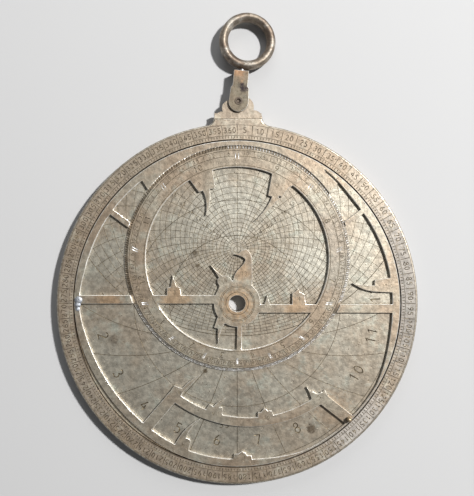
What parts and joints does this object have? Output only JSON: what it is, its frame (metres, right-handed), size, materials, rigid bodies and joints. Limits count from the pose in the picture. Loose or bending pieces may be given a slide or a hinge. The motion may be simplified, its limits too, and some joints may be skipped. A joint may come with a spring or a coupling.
{
  "type": "planispheric astrolabe",
  "caption": "Brass planispheric astrolabe: pierced star map turning over engraved plates in a graduated round case, with a throne, shackle and hanging ring.",
  "frame": {"origin": "centre of the pin bore on the flat back face", "axes": "+Z out of the front face along the pin bore, +Y towards the throne and hanging ring, +X to the right seen from the front"},
  "size_m": [0.175, 0.229, 0.0102],
  "materials": {
    "mater": "aged, brown patina in the grooves",
    "plate": "aged, dull greenish grey",
    "rete": "aged, edges rubbed bright",
    "suspension": "aged, worn smooth",
    "rivet": "satin",
    "solder": "dull soft solder",
    "steel": "worn steel"
  },
  "bodies": {
    "mater": {"mater_plate": "mater", "limb": "mater", "limb_rivets": "rivet", "plate_key": "rivet", "shackle_rivet": "rivet"},
    "plate_four": {"climate_plate_four": "plate"},
    "plate_three": {"climate_plate_three": "plate"},
    "plate_two": {"climate_plate_two": "plate"},
    "plate_one": {"climate_plate_one": "plate"},
    "rete": {"rete": "rete", "rete_knob": "rivet", "rete_solder": "solder"},
    "shackle": {"shackle": "suspension"},
    "ring": {"ring_pin": "steel", "hanging_ring": "suspension"}
  },
  "joints": [
    {"name": "plate_four_lift", "type": "slide", "parent": "mater", "child": "plate_four", "axis": [0, 0, 1], "range_m": [0, 0.012]},
    {"name": "plate_three_lift", "type": "slide", "parent": "plate_four", "child": "plate_three", "axis": [0, 0, 1], "range_m": [0, 0.012]},
    {"name": "plate_two_lift", "type": "slide", "parent": "plate_three", "child": "plate_two", "axis": [0, 0, 1], "range_m": [0, 0.012]},
    {"name": "plate_one_lift", "type": "slide", "parent": "plate_two", "child": "plate_one", "axis": [0, 0, 1], "range_m": [0, 0.012]},
    {"name": "rete_turn", "type": "hinge", "parent": "plate_one", "child": "rete", "pos_m": [0, 0, 0.00614], "axis": [0, 0, 1], "continuous": true},
    {"name": "shackle_swing", "type": "hinge", "parent": "mater", "child": "shackle", "pos_m": [0.0007, 0.098, 0.0046], "axis": [0, 0, 1], "range_deg": [-74, 85]},
    {"name": "ring_swivel", "type": "hinge", "parent": "shackle", "child": "ring", "pos_m": [0.00202, 0.11174, 0.0046], "axis": [0.1822, 0.9833, 0], "continuous": true}
  ]
}
